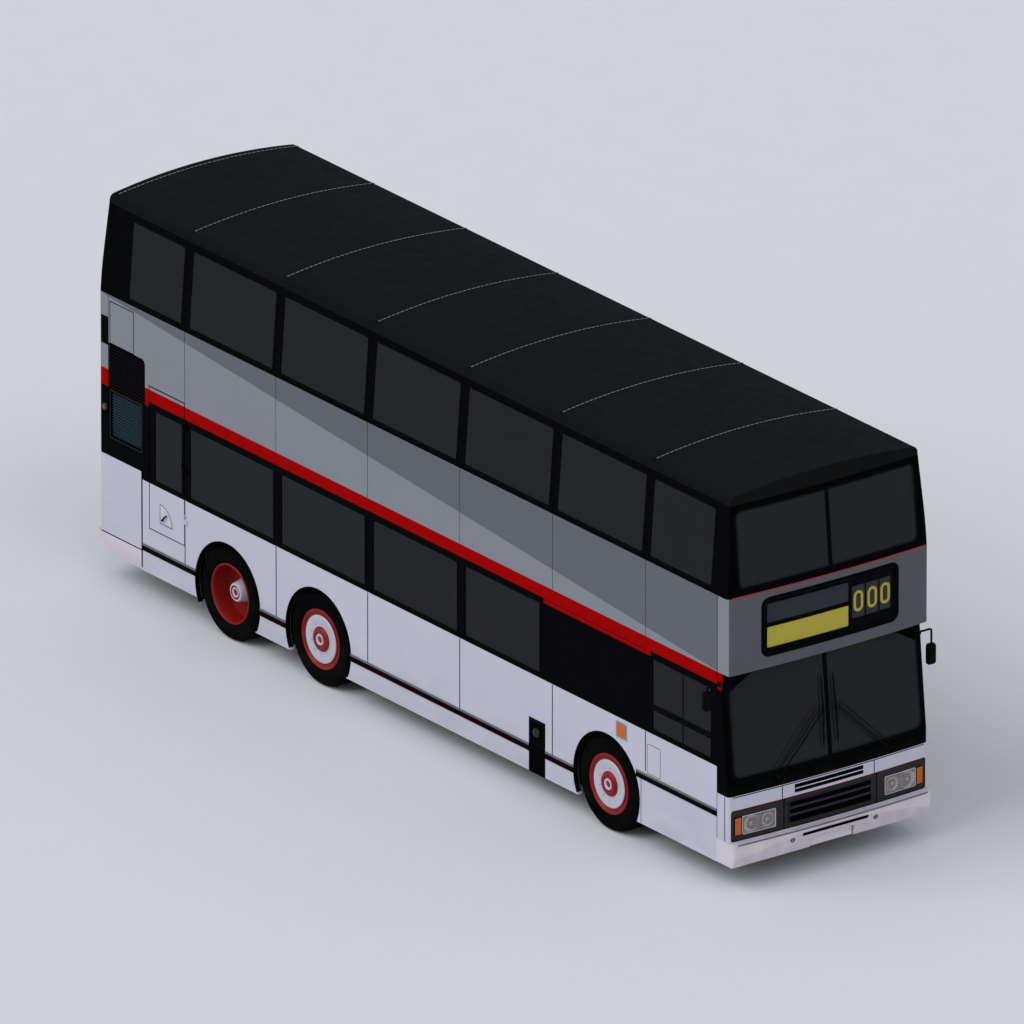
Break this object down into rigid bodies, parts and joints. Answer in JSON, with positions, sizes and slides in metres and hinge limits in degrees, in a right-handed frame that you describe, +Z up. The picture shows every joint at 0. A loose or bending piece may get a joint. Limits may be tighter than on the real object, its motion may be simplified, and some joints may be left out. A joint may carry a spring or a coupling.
{
  "type": "three-axle double decker bus",
  "caption": "Right-hand-drive double decker bus with three axles, steered front wheels, folding entrance door, emergency door and rear engine lid.",
  "frame": {"origin": "on the ground under the middle of the bus", "axes": "+X to the front, +Y to the left (nearside), +Z up"},
  "size_m": [10.789, 2.921, 4.27],
  "materials": {
    "body_paint": "satin coach paint",
    "roof_paint": "satin dark paint",
    "dark_paint": "satin dark grey paint",
    "window_glass": "dark tinted safety glass",
    "floor": "hard wearing floor covering",
    "seat_cloth": "short pile moquette",
    "driver_cloth": "woven cloth",
    "console": "grained moulding",
    "chassis_paint": "black chassis paint",
    "engine_iron": "rough casting",
    "knuckle_iron": "forged, greasy",
    "rim_paint": "gloss red paint",
    "tyre": "tyre rubber",
    "bumper_paint": "satin paint on moulding",
    "lamp_panel": "dark gloss panel with lamps",
    "black_plastic": "grained black plastic",
    "black_metal": "black satin paint"
  },
  "bodies": {
    "bus_body": {"lower_side_left": "body_paint", "lower_side_right": "body_paint", "upper_side_left": "body_paint", "upper_side_right": "body_paint", "roof": "roof_paint", "front_lower_panel": "body_paint", "front_upper_panel": "dark_paint", "rear_panel": "body_paint", "side_windows": "window_glass", "windscreens": "window_glass", "lower_floor": "floor", "upper_floor": "floor", "staircase": "floor", "lower_seats": "seat_cloth", "upper_seats": "seat_cloth", "driver_seat": "driver_cloth", "driver_console": "console", "chassis_frame": "chassis_paint", "engine": "engine_iron", "front_axle": "chassis_paint", "rear_axles": "chassis_paint", "front_bumper": "bumper_paint", "rear_bumper": "bumper_paint", "front_lamps": "lamp_panel", "mirrors": "black_plastic", "wipers": "black_metal"},
    "knuckle_left": {"knuckle_left": "knuckle_iron"},
    "knuckle_right": {"knuckle_right": "knuckle_iron"},
    "track_rod": {"track_rod": "knuckle_iron"},
    "front_wheel_left": {"front_rim_left": "rim_paint", "front_tyre_left": "tyre"},
    "front_wheel_right": {"front_rim_right": "rim_paint", "front_tyre_right": "tyre"},
    "middle_wheel_left": {"middle_rim_left": "rim_paint", "middle_tyre_left": "tyre"},
    "middle_wheel_right": {"middle_rim_right": "rim_paint", "middle_tyre_right": "tyre"},
    "rear_wheels_left": {"rear_rims_left": "rim_paint", "rear_tyres_left": "tyre"},
    "rear_wheels_right": {"rear_rims_right": "rim_paint", "rear_tyres_right": "tyre"},
    "door_front_leaf": {"door_front_leaf": "body_paint", "door_front_glass": "window_glass"},
    "door_rear_leaf": {"door_rear_leaf": "body_paint", "door_rear_glass": "window_glass"},
    "emergency_door": {"emergency_door": "body_paint", "emergency_glass": "window_glass"},
    "engine_lid": {"engine_lid": "body_paint"}
  },
  "joints": [
    {"name": "steer_left", "type": "hinge", "parent": "bus_body", "child": "knuckle_left", "pos_m": [3.2455, 0.86, 0.5], "axis": [0, 0, 1], "range_deg": [-35, 35]},
    {"name": "steer_right", "type": "hinge", "parent": "bus_body", "child": "knuckle_right", "pos_m": [3.2455, -0.86, 0.5], "axis": [0, 0, 1], "range_deg": [-35, 35]},
    {"name": "track_rod_pivot", "type": "hinge", "parent": "knuckle_left", "child": "track_rod", "pos_m": [3.0255, 0.86, 0.38], "axis": [0, 0, 1], "range_deg": [-35, 35]},
    {"name": "front_wheel_left_spin", "type": "hinge", "parent": "knuckle_left", "child": "front_wheel_left", "pos_m": [3.2455, 1.09, 0.5], "axis": [0, 1, 0], "continuous": true},
    {"name": "middle_wheel_left_spin", "type": "hinge", "parent": "bus_body", "child": "middle_wheel_left", "pos_m": [-1.5995, 1.09, 0.5], "axis": [0, 1, 0], "continuous": true},
    {"name": "rear_wheels_left_spin", "type": "hinge", "parent": "bus_body", "child": "rear_wheels_left", "pos_m": [-3.1395, 0.935, 0.5], "axis": [0, 1, 0], "continuous": true},
    {"name": "front_wheel_right_spin", "type": "hinge", "parent": "knuckle_right", "child": "front_wheel_right", "pos_m": [3.2455, -1.09, 0.5], "axis": [0, 1, 0], "continuous": true},
    {"name": "middle_wheel_right_spin", "type": "hinge", "parent": "bus_body", "child": "middle_wheel_right", "pos_m": [-1.5995, -1.09, 0.5], "axis": [0, 1, 0], "continuous": true},
    {"name": "rear_wheels_right_spin", "type": "hinge", "parent": "bus_body", "child": "rear_wheels_right", "pos_m": [-3.1395, -0.935, 0.5], "axis": [0, 1, 0], "continuous": true},
    {"name": "entrance_door_swing", "type": "hinge", "parent": "bus_body", "child": "door_front_leaf", "pos_m": [5.0485, 1.2225, 1.2], "axis": [0, 0, 1], "range_deg": [0, 85]},
    {"name": "entrance_door_fold", "type": "hinge", "parent": "door_front_leaf", "child": "door_rear_leaf", "pos_m": [4.4985, 1.25, 1.2], "axis": [0, 0, 1], "range_deg": [-170, 0]},
    {"name": "emergency_door_swing", "type": "hinge", "parent": "bus_body", "child": "emergency_door", "pos_m": [-3.8675, -1.26, 1.5], "axis": [0, 0, 1], "range_deg": [0, 100]},
    {"name": "engine_lid_lift", "type": "hinge", "parent": "bus_body", "child": "engine_lid", "pos_m": [-5.3595, 0, 1.806], "axis": [0, 1, 0], "range_deg": [0, 80]}
  ],
  "couplings": [
    {"joint": "steer_right", "follows": "steer_left", "ratio": 1},
    {"joint": "track_rod_pivot", "follows": "steer_left", "ratio": -1},
    {"joint": "entrance_door_fold", "follows": "entrance_door_swing", "ratio": -2}
  ]
}
